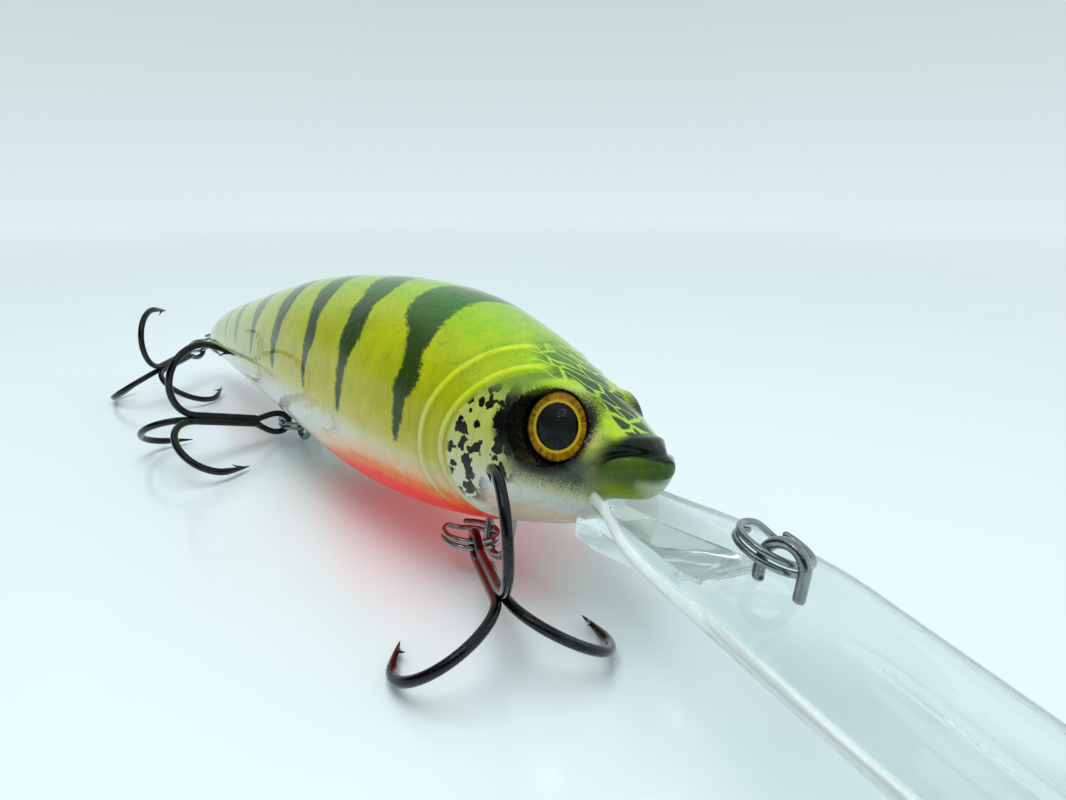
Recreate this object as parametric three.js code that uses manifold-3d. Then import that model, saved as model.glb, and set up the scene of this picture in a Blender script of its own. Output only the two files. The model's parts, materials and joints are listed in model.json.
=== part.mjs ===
// A deep-diving crankbait lure: hollow two-part body, clear lip, split rings and treble hooks.
// Millimetres, +Z up. +X points from the tail to the lip. The lure lies on a table and leans to +Y.

import * as THREE from 'three';
import { mergeVertices } from 'three/addons/utils/BufferGeometryUtils.js';
import Module from 'manifold-3d';

const wasm = await Module();
wasm.setup();

// ---------- driving dimensions ----------

const LEAN_DEG = 12;                 // roll of the lying lure towards +Y
const GAP = 0.3;                     // clearance between pieces that touch

// Body outline: x, belly height, back height, half width, from the tail to the nose.
const BODY_STATIONS = [
  [-104.2, 9.9, 11.7, 0.7],
  [-103, 8.9, 13.3, 1.9],
  [-98, 8.0, 15.6, 3.4],
  [-85, 7.3, 20.2, 6.2],
  [-62, 6.4, 26.1, 9.8],
  [-40, 5.0, 31.1, 12.3],
  [-20, 3.6, 33.3, 13.3],
  [-5, 4.4, 33.1, 13.2],
  [6, 6.3, 30.6, 12.0],
  [15, 8.9, 27.5, 9.8],
  [21, 11.0, 25.2, 7.2],
  [26, 14.4, 22.9, 4.7],
  [29, 16.6, 21.7, 2.9],
  [30.4, 18.8, 20.9, 1.2],
];
const SECTION_POWER = 2.2;           // squareness of the body's cross sections
const WALL = 1.6;                    // thickness of the moulded shells
const CAVITY_FROM = 0.09;            // part of the outline's length where the hollow starts
const CAVITY_TO = 0.66;              // and where it stops, so that the head is solid

// Lip: x, height of the top face, thickness, half width.
const LIP_STATIONS = [
  [24.5, 17.1, 1.8, 4.0],
  [28, 16.7, 1.9, 5.6],
  [34, 15.9, 2.0, 9.2],
  [39, 15.1, 2.0, 10.6],
  [45.1, 14.0, 2.0, 11.5],
  [52, 12.34, 2.0, 11.6],
  [66, 8.98, 2.0, 11.6],
  [80, 5.62, 2.0, 11.5],
  [84, 4.66, 2.0, 10.5],
  [87.3, 3.87, 2.0, 8.4],
  [90.2, 3.17, 2.0, 5.0],
  [91.5, 2.86, 2.0, 1.2],
];
// Root block under the lip's neck, and the tenon that it sends into the chin.
const ROOT_STATIONS = [
  [14.5, 15.6, 3.2, 2.6],
  [19, 16.2, 4.4, 3.0],
  [20.5, 16.4, 6.3, 4.0],
  [27, 16.0, 5.6, 4.6],
  [34, 15.0, 3.7, 5.8],
  [42, 13.9, 1.5, 6.6],
];
// Ridge along the middle of the lip's top face.
const RIDGE_STATIONS = [
  [50, 12.6, 1.2, 0.6],
  [54, 12.5, 1.9, 1.1],
  [70, 8.7, 1.9, 1.1],
  [86, 4.8, 1.9, 1.0],
];

const WIRE_R = 0.55;                 // wire of the line tie and the hangers
const TIE_SPAN = 4.0;                // distance between the line tie's legs
const TIE_LEG = 2.6;
const TIE_CENTRE = new THREE.Vector3(43.9, 0, 15.66);
const HANGER_SPAN = 4.2;
const HANGER_LEG = 6.5;
const FRONT_HANGER = new THREE.Vector3(7.4, 0, 3.9);
const MID_HANGER = new THREE.Vector3(-51.2, 0, 2.9);
const TAIL_HANGER = new THREE.Vector3(-105.4, 0, 9.3);
const TIE_REACH = new THREE.Vector3(-0.7, 0.7, 0.13);    // from the line tie to its ring's middle
const TIE_RING_NORMAL = new THREE.Vector3(0.18, 0.12, 1);

// Where each split ring grips its hook's eye, in the frame of the table.
const FRONT_GRIP = new THREE.Vector3(7.9, -3.0, 4.4);
const MID_GRIP = new THREE.Vector3(-55.2, -2.4, 3.0);
const TAIL_GRIP = new THREE.Vector3(-105.5, -1.7, 7.8);

const RING_R = 3.4;                  // split ring, to the middle of its wire
const RING_WIRE_R = 0.37;
const RING_PITCH = 0.86;             // distance between its two turns
const RING_END = 0.42;               // angle left open at each end of its wire, in radians
const RING_STEP = 0.36;              // half the angle of the step between its turns

const HOOK_WIRE_R = 0.6;
const HOOK_ARM_OFFSET = 0.64;        // shank wires from the hook's axis
const HOOK_SHANK = 18.4;             // from the eye's end to the bend
const HOOK_BEND = [5.36, 5.98];      // half axes of the bend
const HOOK_EYE_CENTRE = 2.93;
const HOOK_EYE = [1.7, 0.55, 1.3];   // loop radius, wire radius, stretch along the shank
const HOOK_GRIP = 2.45;              // where the split ring passes through the eye
const HOOK_ARM_START = 4.6;          // where its three wires begin
const HOOK_TIP_SETBACK = 1.6;        // from the bend's end to the start of the point
const HOOK_TIP_DROP = 0.3;
const HOOK_TIP_LENGTH = 4;
const HOOK_TIP_TILT = 0.26;          // lean of the point towards the shank, in radians
const HOOK_BARB = [0.34, 1.9];       // radius and length of the barb
const HOOK_BARB_TILT = 1.0;          // its lean back to the bend, in radians
const HOOK_CORE = [0.4, 4.2];        // radius and start of the braze between the wires
const HOOK_TURNS = { front: [-26, 10], mid: [-79.6, 17], tail: [-43.6, -2] };   // yaw and rise

const EYE_CENTRE = new THREE.Vector3(19.5, 5.1, 21.4);
const EYE_FACING = new THREE.Vector3(0.22, 0.95, 0.12);
const EYE_R = 3.65;
const EYE_DISC = 0.8;
const EYE_DOME = 1.7;
const SOCKET_REACH = 8;              // how far outward the socket is cut

const TUBE_LENGTH = 64;
const TUBE_BORE = 4.6;
const TUBE_WALL = 0.8;
const TUBE_CENTRE = new THREE.Vector3(-35, 0, 17);
const TUBE_TILT_DEG = 3;             // the rear end is the lower one
const TRANSFER_BALL_R = 4.2;
const TRANSFER_BALLS = 3;
const END_STOP = 2;                  // thickness of the rear buffer and the front magnet
const RATTLE_CENTRE = new THREE.Vector3(4, 0, 23.4);
const RATTLE_BORE = 1.9;
const RATTLE_WALL = 0.6;
const RATTLE_LENGTH = 15.6;
const RATTLE_BALL_R = 1.6;
const RATTLE_BALLS = 2;
const BALLAST_CENTRE = new THREE.Vector3(-17, 0, 8.6);
const BALLAST_R = 2.8;
const BALLAST_LENGTH = 14;

// Fineness of the faceted surfaces.
const SHELL_STEPS = [26, 24];        // along the body, and round it
const HOLLOW_STEPS = [14, 16];
const WIRE_SIDES = 8;
const LOOP_STEPS = 26;
const RING_SIDES = 6;
const RING_STEPS = 40;
const ARM_STEPS = 30;
const ARC_POINTS = { loop: 8, bend: 10 };                // guide points along the wires' curves
const BARB_SIDES = 4;
const HOOK_EYE_SIDES = [8, 16];      // round the wire, and along the loop
const CORE_SIDES = 6;
const EYE_SIDES = 20;
const DOME_STEPS = 5;
const STOP_SIDES = 16;
const BALL_SIDES = [12, 8];
const TRANSFER_TUBE_SIDES = 18;
const RATTLE_TUBE_SIDES = 14;
const BALLAST_SIDES = [3, 12];       // along each rounded end, and round it
const SPLIT_BLOCK = 300;             // edge of the block that keeps one side of the body
const MERGE_WITHIN = 1e-4;           // corners closer than this are one corner

// ---------- materials ----------

function material(color, roughness, metalness, opacity = 1) {
  const transparent = opacity < 1;
  return new THREE.MeshStandardMaterial({ color, roughness, metalness, opacity, transparent });
}

const LOOKS = {
  shell: () => material(0xa7c92e, 0.15, 0),
  lip: () => material(0xdfe8e4, 0.05, 0, 0.35),
  wire: () => material(0xb9bec0, 0.2, 1),
  ring: () => material(0x8f9698, 0.18, 1),
  hook: () => material(0x15191c, 0.22, 0.9),
  iris: () => material(0xd29a12, 0.25, 0.6),
  dome: () => material(0xf2f4f4, 0.03, 0, 0.35),
  lead: () => material(0x6d7175, 0.55, 0.9),
  tube: () => material(0xe6eae8, 0.2, 0, 0.6),
  steel: () => material(0xc9ccce, 0.15, 1),
  rubber: () => material(0x1d1f20, 0.8, 0),
  magnet: () => material(0xa9adb2, 0.3, 1),
};

// ---------- geometry helpers ----------

// The solid inside a closed three.js geometry.
function solid(geometry) {
  const bare = geometry.clone();
  bare.deleteAttribute('normal');
  bare.deleteAttribute('uv');
  const merged = mergeVertices(bare, MERGE_WITHIN);
  const vertProperties = new Float32Array(merged.attributes.position.array);
  const triVerts = new Uint32Array(merged.index.array);
  return new wasm.Manifold(new wasm.Mesh({ numProp: 3, vertProperties, triVerts }));
}

function surfaceOf(manifold) {
  const { vertProperties, triVerts } = manifold.getMesh();
  const geometry = new THREE.BufferGeometry();
  geometry.setAttribute('position', new THREE.BufferAttribute(vertProperties, 3));
  geometry.setIndex(new THREE.BufferAttribute(triVerts, 1));
  return geometry;
}

// Closed skin over rings of points that run from low x to high x, anticlockwise seen from +X.
function loft(rings) {
  const count = rings[0].length;
  const points = rings.flat();
  const index = [];
  for (let i = 0; i < rings.length - 1; i++) {
    for (let j = 0; j < count; j++) {
      const a = i * count + j;
      const b = i * count + (j + 1) % count;
      index.push(a, b, a + count, b, b + count, a + count);
    }
  }
  const last = (rings.length - 1) * count;
  for (let j = 1; j < count - 1; j++) {
    index.push(0, j + 1, j);
    index.push(last, last + j, last + j + 1);
  }
  const geometry = new THREE.BufferGeometry().setFromPoints(points);
  geometry.setIndex(index);
  return geometry;
}

// Round wire along a curve.
function wire(curve, radius, sides, steps) {
  const section = new THREE.Shape();
  section.absarc(0, 0, radius, 0, 2 * Math.PI);
  const options = { steps, curveSegments: sides / 2, extrudePath: curve, bevelEnabled: false };
  return new THREE.ExtrudeGeometry(section, options);
}

function mesh(name, geometry, look) {
  const piece = new THREE.Mesh(geometry, LOOKS[look]());
  piece.name = name;
  return piece;
}

// ---------- body ----------

function bodyRing(x, belly, back, halfWidth, segments, inset) {
  const ring = [];
  const middle = (belly + back) / 2;
  const high = (back - belly) / 2 - inset;
  const wide = halfWidth - inset;
  for (let j = 0; j < segments; j++) {
    const angle = 2 * Math.PI * j / segments;
    const c = Math.cos(angle);
    const s = Math.sin(angle);
    const y = wide * Math.sign(c) * Math.abs(c) ** (2 / SECTION_POWER);
    const z = middle + high * Math.sign(s) * Math.abs(s) ** (2 / SECTION_POWER);
    ring.push(new THREE.Vector3(x, y, z));
  }
  return ring;
}

// Solid body form between two places along the outline, drawn in by the inset.
function bodyForm(from, to, [stationCount, segments], inset) {
  const sides = new THREE.CatmullRomCurve3(
    BODY_STATIONS.map(([x, belly, back]) => new THREE.Vector3(x, belly, back)), false, 'catmullrom');
  const widths = new THREE.CatmullRomCurve3(
    BODY_STATIONS.map(([x, , , width]) => new THREE.Vector3(x, width, 0)), false, 'catmullrom');
  const rings = [];
  for (let i = 0; i <= stationCount; i++) {
    const t = from + (to - from) * i / stationCount;
    const { x, y: belly, z: back } = sides.getPoint(t);
    const { y: width } = widths.getPoint(t);
    rings.push(bodyRing(x, belly, back, width, segments, inset));
  }
  return solid(loft(rings));
}

// Everything on one side of the middle plane, less half a gap.
function sideBlock(side) {
  const block = new THREE.BoxGeometry(SPLIT_BLOCK, SPLIT_BLOCK, SPLIT_BLOCK);
  block.translate(0, side * (SPLIT_BLOCK + GAP) / 2, 0);
  return solid(block);
}

function eyeFrame(side) {
  const facing = EYE_FACING.clone().normalize();
  facing.y *= side;
  const turn = new THREE.Quaternion().setFromUnitVectors(new THREE.Vector3(0, 0, 1), facing);
  const centre = EYE_CENTRE.clone();
  centre.y *= side;
  return new THREE.Matrix4().compose(centre, turn, new THREE.Vector3(1, 1, 1));
}

function eyeSocket(side) {
  const radius = EYE_R + GAP;
  const socket = new THREE.CylinderGeometry(radius, radius, SOCKET_REACH, EYE_SIDES);
  socket.rotateX(Math.PI / 2);
  socket.translate(0, 0, SOCKET_REACH / 2 - EYE_DISC - 2 * GAP);
  return solid(socket.applyMatrix4(eyeFrame(side)));
}

function bodyShell(side) {
  let shell = bodyForm(0, 1, SHELL_STEPS, 0);
  shell = shell.subtract(bodyForm(CAVITY_FROM, CAVITY_TO, HOLLOW_STEPS, WALL));
  shell = shell.intersect(sideBlock(side));
  shell = shell.subtract(lipForm(GAP)).subtract(eyeSocket(side));
  const grown = WIRE_R + GAP;
  for (const hanger of [frontHanger(grown), midHanger(grown), tailHanger(grown)]) {
    shell = shell.subtract(solid(hanger));
  }
  return mesh(side > 0 ? 'body_shell_left' : 'body_shell_right', surfaceOf(shell), 'shell');
}

// ---------- lip ----------

// A bar of rectangular sections; grow makes it larger all round.
function bar(stations, grow) {
  const rings = stations.map(([x, top, thickness, halfWidth]) => {
    const wide = halfWidth + grow;
    const high = top + grow;
    const low = top - thickness - grow;
    return [
      new THREE.Vector3(x, wide, low),
      new THREE.Vector3(x, wide, high),
      new THREE.Vector3(x, -wide, high),
      new THREE.Vector3(x, -wide, low),
    ];
  });
  return solid(loft(rings));
}

function lipForm(grow) {
  return bar(LIP_STATIONS, grow).add(bar(ROOT_STATIONS, grow)).add(bar(RIDGE_STATIONS, grow));
}

function divingLip() {
  const slot = solid(lineTie(WIRE_R + GAP));
  return mesh('diving_lip', surfaceOf(lipForm(0).subtract(slot)), 'lip');
}

// ---------- wire loops ----------

// A U of wire in the XZ plane. Its round end is centred on the origin and its legs run up.
function wireLoop(radius, span, leg) {
  const points = [];
  const arcSteps = ARC_POINTS.loop;
  points.push(new THREE.Vector3(-span / 2, 0, leg));
  points.push(new THREE.Vector3(-span / 2, 0, leg / 2));
  for (let i = 0; i <= arcSteps; i++) {
    const angle = Math.PI * (1 + i / arcSteps);
    points.push(new THREE.Vector3(Math.cos(angle) * span / 2, 0, Math.sin(angle) * span / 2));
  }
  points.push(new THREE.Vector3(span / 2, 0, leg / 2));
  points.push(new THREE.Vector3(span / 2, 0, leg));
  return wire(new THREE.CatmullRomCurve3(points), radius, WIRE_SIDES, LOOP_STEPS);
}

function frontHanger(radius) {
  return wireLoop(radius, HANGER_SPAN, HANGER_LEG).translate(...FRONT_HANGER);
}

function midHanger(radius) {
  return wireLoop(radius, HANGER_SPAN, HANGER_LEG).translate(...MID_HANGER);
}

function tailHanger(radius) {
  return wireLoop(radius, HANGER_SPAN, HANGER_LEG).rotateY(Math.PI / 2).translate(...TAIL_HANGER);
}

function lineTie(radius) {
  return wireLoop(radius, TIE_SPAN, TIE_LEG).rotateY(Math.PI).translate(...TIE_CENTRE);
}

// ---------- split rings ----------

// Two flat turns joined by a short step in the middle of the wire.
class SplitRingPath extends THREE.Curve {
  getPoint(t, target = new THREE.Vector3()) {
    const angle = RING_END + t * (4 * Math.PI - 2 * RING_END);
    const rise = THREE.MathUtils.clamp((angle - 2 * Math.PI) / RING_STEP, -1, 1);
    const height = rise * RING_PITCH / 2;
    return target.set(RING_R * Math.cos(angle), RING_R * Math.sin(angle), height);
  }
}

// A split ring round a middle point. Its ends lie on the side that the reach points to.
function splitRing(name, middle, reach, normal) {
  const out = reach.clone().normalize();
  const up = normal.clone().addScaledVector(out, -normal.dot(out)).normalize();
  const across = new THREE.Vector3().crossVectors(up, out);
  const piece = mesh(name, wire(new SplitRingPath(), RING_WIRE_R, RING_SIDES, RING_STEPS), 'ring');
  piece.quaternion.setFromRotationMatrix(new THREE.Matrix4().makeBasis(out, across, up));
  piece.position.copy(middle);
  return piece;
}

// The middle of a nearly level ring that passes through two points, behind the line between them.
function ringMiddle(start, end) {
  const chord = end.clone().sub(start);
  const behind = new THREE.Vector3(0, 0, 1).cross(chord).normalize();
  if (behind.x > 0) behind.negate();
  const offset = Math.sqrt(RING_R ** 2 - chord.lengthSq() / 4);
  return start.clone().addScaledVector(chord, 0.5).addScaledVector(behind, offset);
}

// ---------- treble hooks ----------

// One of the hook's three wires: shank, bend and point, in the XZ plane with the shank along X.
function hookArm() {
  const [bendLong, bendWide] = HOOK_BEND;
  const points = [new THREE.Vector3(HOOK_ARM_START, 0, HOOK_ARM_OFFSET)];
  points.push(new THREE.Vector3((HOOK_ARM_START + HOOK_SHANK) / 2, 0, HOOK_ARM_OFFSET));
  const arcSteps = ARC_POINTS.bend;
  for (let i = 0; i <= arcSteps; i++) {
    const angle = Math.PI * (i / arcSteps - 0.5);
    const x = HOOK_SHANK + bendLong * Math.cos(angle);
    const z = HOOK_ARM_OFFSET + bendWide * (1 + Math.sin(angle));
    points.push(new THREE.Vector3(x, 0, z));
  }
  const crest = HOOK_ARM_OFFSET + 2 * bendWide;
  const tipStart = new THREE.Vector3(HOOK_SHANK - HOOK_TIP_SETBACK, 0, crest - HOOK_TIP_DROP);
  points.push(tipStart);
  const path = new THREE.CatmullRomCurve3(points);
  const bent = solid(wire(path, HOOK_WIRE_R, WIRE_SIDES, ARM_STEPS));
  return bent.add(hookTip(tipStart)).add(barb(crest));
}

// The sharp end of a wire. It starts a little inside the wire, so that the two join.
function hookTip(start) {
  const reach = 0.475 * HOOK_TIP_LENGTH;
  const tip = new THREE.ConeGeometry(HOOK_WIRE_R, HOOK_TIP_LENGTH, WIRE_SIDES);
  tip.rotateZ(Math.PI / 2).rotateY(-HOOK_TIP_TILT);
  const x = start.x - reach * Math.cos(HOOK_TIP_TILT);
  const z = start.z - reach * Math.sin(HOOK_TIP_TILT);
  return solid(tip.translate(x, 0, z));
}

// A spur on the inside of the point, leaning back to the bend.
function barb(crest) {
  const [radius, length] = HOOK_BARB;
  const spike = new THREE.ConeGeometry(radius, length, BARB_SIDES);
  spike.rotateX(-Math.PI / 2).rotateY(-HOOK_BARB_TILT);
  spike.translate(HOOK_SHANK - 2 * HOOK_TIP_SETBACK, 0, crest - 4 * HOOK_TIP_DROP);
  return solid(spike);
}

function hookEye() {
  const [loop, thickness, stretch] = HOOK_EYE;
  const eye = new THREE.TorusGeometry(loop, thickness, ...HOOK_EYE_SIDES);
  eye.rotateX(Math.PI / 2).scale(stretch, 1, 1).translate(HOOK_EYE_CENTRE, 0, 0);
  return solid(eye);
}

// Braze that fills the space between the three wires.
function shankCore() {
  const [radius, start] = HOOK_CORE;
  const length = HOOK_SHANK - start - radius;
  const core = new THREE.CylinderGeometry(radius, radius, length, CORE_SIDES);
  return solid(core.rotateZ(Math.PI / 2).translate(start + length / 2, 0, 0));
}

// A treble hook whose eye grips a ring at one point. Its shank turns by yaw and rises by pitch.
function trebleHook(name, grip, yawDeg, riseDeg) {
  const arm = hookArm();
  let hook = hookEye().add(shankCore());
  for (let i = 0; i < 3; i++) {
    hook = hook.add(arm.rotate([120 * i, 0, 0]));
  }
  const geometry = surfaceOf(hook).translate(-HOOK_GRIP, 0, 0);
  const piece = mesh(name, geometry, 'hook');
  piece.rotation.order = 'ZYX';
  piece.rotation.set(0, THREE.MathUtils.degToRad(-riseDeg), THREE.MathUtils.degToRad(yawDeg));
  piece.position.copy(grip);
  return piece;
}

// ---------- eyes ----------

function eyeIris(side) {
  const disc = new THREE.CylinderGeometry(EYE_R, EYE_R, EYE_DISC, EYE_SIDES);
  disc.rotateX(Math.PI / 2).translate(0, 0, -EYE_DISC / 2 - GAP);
  const name = side > 0 ? 'left_eye_iris' : 'right_eye_iris';
  return mesh(name, disc.applyMatrix4(eyeFrame(side)), 'iris');
}

function eyeDome(side) {
  const profile = [new THREE.Vector2(0, 0)];
  for (let i = 0; i <= DOME_STEPS; i++) {
    const angle = Math.PI / 2 * i / DOME_STEPS;
    const out = i === DOME_STEPS ? 0 : EYE_R * Math.cos(angle);
    profile.push(new THREE.Vector2(out, EYE_DOME * Math.sin(angle)));
  }
  const dome = new THREE.LatheGeometry(profile, EYE_SIDES).rotateX(Math.PI / 2);
  const name = side > 0 ? 'left_eye_dome' : 'right_eye_dome';
  return mesh(name, dome.applyMatrix4(eyeFrame(side)), 'dome');
}

// ---------- inside the body ----------

function openTube(name, bore, wall, length, sides) {
  const profile = [[bore, -1], [bore + wall, -1], [bore + wall, 1], [bore, 1], [bore, -1]];
  const outline = profile.map(([r, end]) => new THREE.Vector2(r, end * length / 2));
  return mesh(name, new THREE.LatheGeometry(outline, sides), 'tube');
}

function endStop(name, look, place) {
  const radius = TUBE_BORE - GAP;
  const disc = new THREE.CylinderGeometry(radius, radius, END_STOP, STOP_SIDES);
  const stop = mesh(name, disc, look);
  stop.position.y = place;
  return stop;
}

function ball(name, radius, place) {
  const piece = mesh(name, new THREE.SphereGeometry(radius, ...BALL_SIDES), 'steel');
  piece.position.y = place;
  return piece;
}

// Weight-transfer tube: its axis is the group's Y axis, which points to the lure's nose.
function weightTransfer() {
  const group = new THREE.Group();
  group.add(openTube('transfer_tube', TUBE_BORE, TUBE_WALL, TUBE_LENGTH, TRANSFER_TUBE_SIDES));
  const stopPlace = (TUBE_LENGTH - END_STOP) / 2;
  group.add(endStop('transfer_rear_buffer', 'rubber', -stopPlace));
  group.add(endStop('transfer_front_magnet', 'magnet', stopPlace));
  const pitch = 2 * TRANSFER_BALL_R + GAP;
  const first = -TUBE_LENGTH / 2 + END_STOP + pitch / 2;
  for (let i = 0; i < TRANSFER_BALLS; i++) {
    group.add(ball(`transfer_ball_${i + 1}`, TRANSFER_BALL_R, first + i * pitch));
  }
  group.rotation.z = -Math.PI / 2 + THREE.MathUtils.degToRad(TUBE_TILT_DEG);
  const upright = new THREE.Group();
  upright.add(group);
  upright.rotation.x = Math.PI / 2;
  upright.position.copy(TUBE_CENTRE);
  return upright;
}

// Rattle tube across the body, with its loose balls at the low, left end.
function rattle() {
  const group = new THREE.Group();
  group.add(openTube('rattle_tube', RATTLE_BORE, RATTLE_WALL, RATTLE_LENGTH, RATTLE_TUBE_SIDES));
  const pitch = 2 * RATTLE_BALL_R + GAP / 2;
  for (let i = 0; i < RATTLE_BALLS; i++) {
    group.add(ball(`rattle_ball_${i + 1}`, RATTLE_BALL_R, RATTLE_LENGTH / 2 - pitch * (i + 0.5)));
  }
  group.position.copy(RATTLE_CENTRE);
  return group;
}

function bellyBallast() {
  const capsule = new THREE.CapsuleGeometry(BALLAST_R, BALLAST_LENGTH, ...BALLAST_SIDES);
  const weight = mesh('belly_ballast', capsule, 'lead');
  weight.rotation.z = Math.PI / 2;
  weight.position.copy(BALLAST_CENTRE);
  return weight;
}

// ---------- assembly ----------

function lureBody() {
  const group = new THREE.Group();
  for (const side of [1, -1]) {
    group.add(bodyShell(side), eyeIris(side), eyeDome(side));
  }
  group.add(divingLip(), mesh('line_tie_loop', lineTie(WIRE_R), 'wire'));
  group.add(mesh('front_hanger', frontHanger(WIRE_R), 'wire'));
  group.add(mesh('mid_hanger', midHanger(WIRE_R), 'wire'));
  group.add(mesh('tail_hanger', tailHanger(WIRE_R), 'wire'));
  group.add(weightTransfer(), rattle(), bellyBallast());
  const reach = TIE_REACH.clone().normalize();
  const ringCentre = TIE_CENTRE.clone().addScaledVector(reach, RING_R);
  group.add(splitRing('line_tie_ring', ringCentre, reach, TIE_RING_NORMAL));
  group.rotation.x = THREE.MathUtils.degToRad(-LEAN_DEG);
  return group;
}

// Where a point of the leaning body is, seen from the table.
function leaned(point) {
  return point.clone().applyAxisAngle(new THREE.Vector3(1, 0, 0), THREE.MathUtils.degToRad(-LEAN_DEG));
}

// A split ring through one hanger, and the hook that it grips.
function hookSet(place, hanger, grip) {
  const [yawDeg, riseDeg] = HOOK_TURNS[place];
  const start = leaned(hanger);
  const middle = ringMiddle(start, grip);
  const normal = grip.clone().sub(start).cross(start.clone().sub(middle));
  normal.multiplyScalar(Math.sign(normal.z));
  const reach = middle.clone().multiplyScalar(2).sub(start).sub(grip);
  const group = new THREE.Group();
  group.add(splitRing(`${place}_split_ring`, middle, reach, normal));
  group.add(trebleHook(`${place}_treble_hook`, grip, yawDeg, riseDeg));
  return group;
}

function crankbait() {
  const lure = new THREE.Group();
  lure.add(lureBody());
  lure.add(hookSet('front', FRONT_HANGER, FRONT_GRIP));
  lure.add(hookSet('mid', MID_HANGER, MID_GRIP));
  lure.add(hookSet('tail', TAIL_HANGER, TAIL_GRIP));
  const box = new THREE.Box3().setFromObject(lure, true);
  const centre = box.getCenter(new THREE.Vector3());
  lure.position.set(-centre.x, -centre.y, -box.min.z);
  return lure;
}

export default crankbait();
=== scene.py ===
"""Looks of a crankbait lure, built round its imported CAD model, in metres, with +Z up.

The shapes are written in the lure's own frame, in millimetres: x runs from tail to lip, y to the
lure's left and z up through its back. The lure lies on its hooks and leans to its left.
"""

import json
import math

import bpy
import numpy as np
from mathutils import Matrix, Vector


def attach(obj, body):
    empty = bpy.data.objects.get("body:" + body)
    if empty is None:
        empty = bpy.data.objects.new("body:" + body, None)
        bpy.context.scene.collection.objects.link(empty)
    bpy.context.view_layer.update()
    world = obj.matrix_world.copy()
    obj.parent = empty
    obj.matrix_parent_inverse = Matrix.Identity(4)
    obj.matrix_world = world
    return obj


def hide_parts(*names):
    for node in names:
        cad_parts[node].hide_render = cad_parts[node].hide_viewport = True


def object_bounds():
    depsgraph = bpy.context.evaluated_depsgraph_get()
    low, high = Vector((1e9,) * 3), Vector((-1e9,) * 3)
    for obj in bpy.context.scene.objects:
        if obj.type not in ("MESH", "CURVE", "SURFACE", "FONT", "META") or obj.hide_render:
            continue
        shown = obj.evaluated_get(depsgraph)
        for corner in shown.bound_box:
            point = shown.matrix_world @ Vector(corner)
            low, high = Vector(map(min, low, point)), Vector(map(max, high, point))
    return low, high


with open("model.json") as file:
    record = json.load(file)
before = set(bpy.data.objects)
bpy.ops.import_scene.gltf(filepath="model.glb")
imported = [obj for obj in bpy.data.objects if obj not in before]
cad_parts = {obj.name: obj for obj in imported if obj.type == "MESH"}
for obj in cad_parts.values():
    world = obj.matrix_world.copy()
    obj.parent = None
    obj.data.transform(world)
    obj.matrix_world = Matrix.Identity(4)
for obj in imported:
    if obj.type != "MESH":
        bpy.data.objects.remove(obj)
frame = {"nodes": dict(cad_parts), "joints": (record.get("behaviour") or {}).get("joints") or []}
cad_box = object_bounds()

# ---------- driving values, in millimetres and degrees ----------

MM = 0.001
LEAN = math.radians(12)              # roll of the lying lure towards its left

# Body outline: x, belly height, back height, half width.
BODY_STATIONS = np.array([
    [-104.2, 9.9, 11.7, 0.7],
    [-103, 8.9, 13.3, 1.9],
    [-98, 8.0, 15.6, 3.4],
    [-85, 7.3, 20.2, 6.2],
    [-62, 6.4, 26.1, 9.8],
    [-40, 5.0, 31.1, 12.3],
    [-20, 3.6, 33.3, 13.3],
    [-5, 4.4, 33.1, 13.2],
    [6, 6.3, 30.6, 12.0],
    [15, 8.9, 27.5, 9.8],
    [21, 11.0, 25.2, 7.2],
    [26, 14.4, 22.9, 4.7],
    [29, 16.6, 21.7, 2.9],
    [30.4, 18.8, 20.9, 1.2],
])
SECTION_POWER = 2.2
WALL = 1.5
PAINT_INSET = 0.03                   # keeps the smooth skin inside the faceted one
CAVITY = (-96, 9)                    # where the shells are hollow
ROUND_POINTS = 166                   # round each half of a body section
LINING_POINTS = 26                   # the same, on the inside
TAIL_ROWS, HEAD_ROWS = 215, 136      # sections behind and ahead of x = 0
CAP_ROWS = 7                         # sections that round each end over
CAP_REACH = 0.45

EYE_CENTRE = np.array([19.5, 5.1, 21.4])
EYE_FACING = np.array([0.22, 0.95, 0.12])
EYE_R = 3.65
EYE_DISC = 0.8
EYE_DOME = 1.7
IRIS_R = 3.5
PUPIL_R = 2.3
GAP = 0.3
SOCKET_RIM = 0.10                    # how far the socket's rim stands past the eye's centre
SOCKET_PLAY = 0.16                   # round the eye's disc
NEAR_SIDE = -7                       # skin deeper than this belongs to the other eye

TIE_CENTRE = np.array([43.9, 0, 15.66])
TIE_SPAN = 4.0
TIE_LEG = 2.6
TIE_REACH = np.array([-0.7, 0.7, 0.13])
TIE_RING_NORMAL = np.array([0.18, 0.12, 1])
HANGER_SPAN = 4.2
HANGER_LEG = 6.5
HANGERS = {
    "front": np.array([7.4, 0, 3.9]),
    "mid": np.array([-51.2, 0, 2.9]),
    "tail": np.array([-105.4, 0, 9.3]),
}
HOOK_TURNS = {"front": (-26, 10), "mid": (-79.6, 17), "tail": (-43.6, -2)}   # yaw and rise
WIRE_R = 0.55

RING_R = 3.4
RING_WIRE_R = 0.34
RING_PITCH = 0.86

HOOK_WIRE_R = 0.57
HOOK_ARM_OFFSET = 0.64
HOOK_SHANK = 18.4
HOOK_BEND = (5.36, 5.98)
HOOK_GRIP = 2.45                     # from the end of the eye to the ring's wire
HOOK_TAPER = 4.6                     # length over which the point narrows
CORE_R = 0.62

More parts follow.
